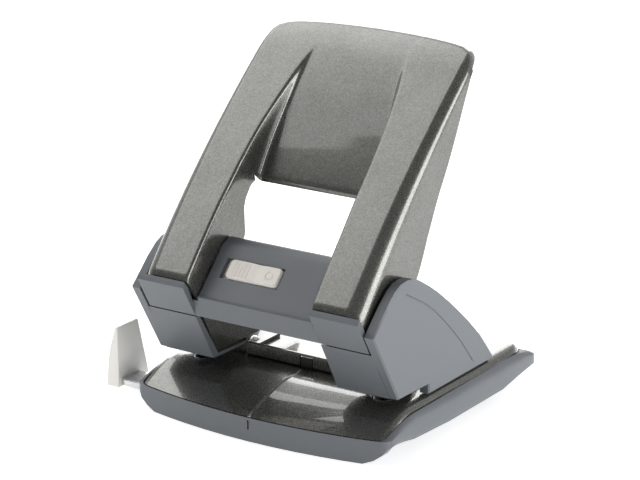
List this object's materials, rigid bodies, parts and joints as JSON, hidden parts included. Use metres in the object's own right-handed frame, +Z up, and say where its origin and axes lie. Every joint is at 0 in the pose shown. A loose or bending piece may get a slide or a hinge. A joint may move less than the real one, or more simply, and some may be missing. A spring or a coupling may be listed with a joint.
{
  "type": "hole punch",
  "caption": "Desk hole punch: steel base plate on a plastic chip tray, towers with side covers, raised window handle with lock slider, and a sliding paper guide.",
  "frame": {"origin": "on the resting plane, under the middle of the chip tray's front lip, between the two punch towers", "axes": "+X to the right of someone feeding paper, +Y away from them towards the tray's rear, +Z up"},
  "size_m": [0.1324, 0.1152, 0.1351],
  "materials": {
    "olive_grey_paint": "glossy olive-grey metallic stove enamel",
    "slate_plastic": "fine-grained moulded plastic",
    "black_rubber": "matt moulded rubber",
    "bright_steel": "ground and polished steel",
    "spring_steel": "drawn wire",
    "cream_plastic": "satin moulded plastic",
    "ivory_plastic": "satin moulded plastic",
    "coal_plastic": "moulded plastic"
  },
  "bodies": {
    "base": {"base_plate": "olive_grey_paint", "tray": "slate_plastic", "tray_tab": "coal_plastic", "paper_stop": "olive_grey_paint", "guide_keeper": "coal_plastic", "foot_front_left": "black_rubber", "foot_front_right": "black_rubber", "foot_rear_left": "black_rubber", "foot_rear_right": "black_rubber", "die_left": "bright_steel", "die_right": "bright_steel", "cover_left": "slate_plastic", "cover_right": "slate_plastic", "bracket_left": "olive_grey_paint", "bracket_right": "olive_grey_paint", "rivet_inner_left": "bright_steel", "rivet_inner_right": "bright_steel", "rivet_outer_left": "bright_steel", "rivet_outer_right": "bright_steel", "pivot_pin_left": "bright_steel", "pivot_pin_right": "bright_steel", "return_spring_left": "spring_steel", "return_spring_right": "spring_steel"},
    "handle": {"handle_shell": "olive_grey_paint", "handle_insert": "slate_plastic", "press_roller_left": "bright_steel", "press_roller_right": "bright_steel"},
    "punch_left": {"punch_pin_left": "bright_steel", "retaining_ring_left": "spring_steel"},
    "punch_right": {"punch_pin_right": "bright_steel", "retaining_ring_right": "spring_steel"},
    "lock": {"lock_slider": "cream_plastic"},
    "paper_guide": {"guide_rail": "bright_steel", "guide_stop": "ivory_plastic"}
  },
  "joints": [
    {"name": "handle_swing", "type": "hinge", "parent": "base", "child": "handle", "pos_m": [0, 0.008, 0.046], "axis": [-1, 0, 0], "range_deg": [0, 35], "stiffness_Nm_per_rad": 0.4, "springref_deg": -28.65},
    {"name": "punch_left_slide", "type": "slide", "parent": "base", "child": "punch_left", "axis": [0, 0, -1], "range_m": [0, 0.01], "deforming": ["return_spring_left"]},
    {"name": "punch_right_slide", "type": "slide", "parent": "base", "child": "punch_right", "axis": [0, 0, -1], "range_m": [0, 0.01], "deforming": ["return_spring_right"]},
    {"name": "lock_slide", "type": "slide", "parent": "handle", "child": "lock", "axis": [-1, 0, 0], "range_m": [0, 0.0024]},
    {"name": "guide_slide", "type": "slide", "parent": "base", "child": "paper_guide", "axis": [-1, 0, 0], "range_m": [-0.014, 0.06]}
  ],
  "couplings": [
    {"joint": "punch_left_slide", "follows": "handle_swing", "m_per_rad": 0.0162},
    {"joint": "punch_right_slide", "follows": "handle_swing", "m_per_rad": 0.0162}
  ]
}
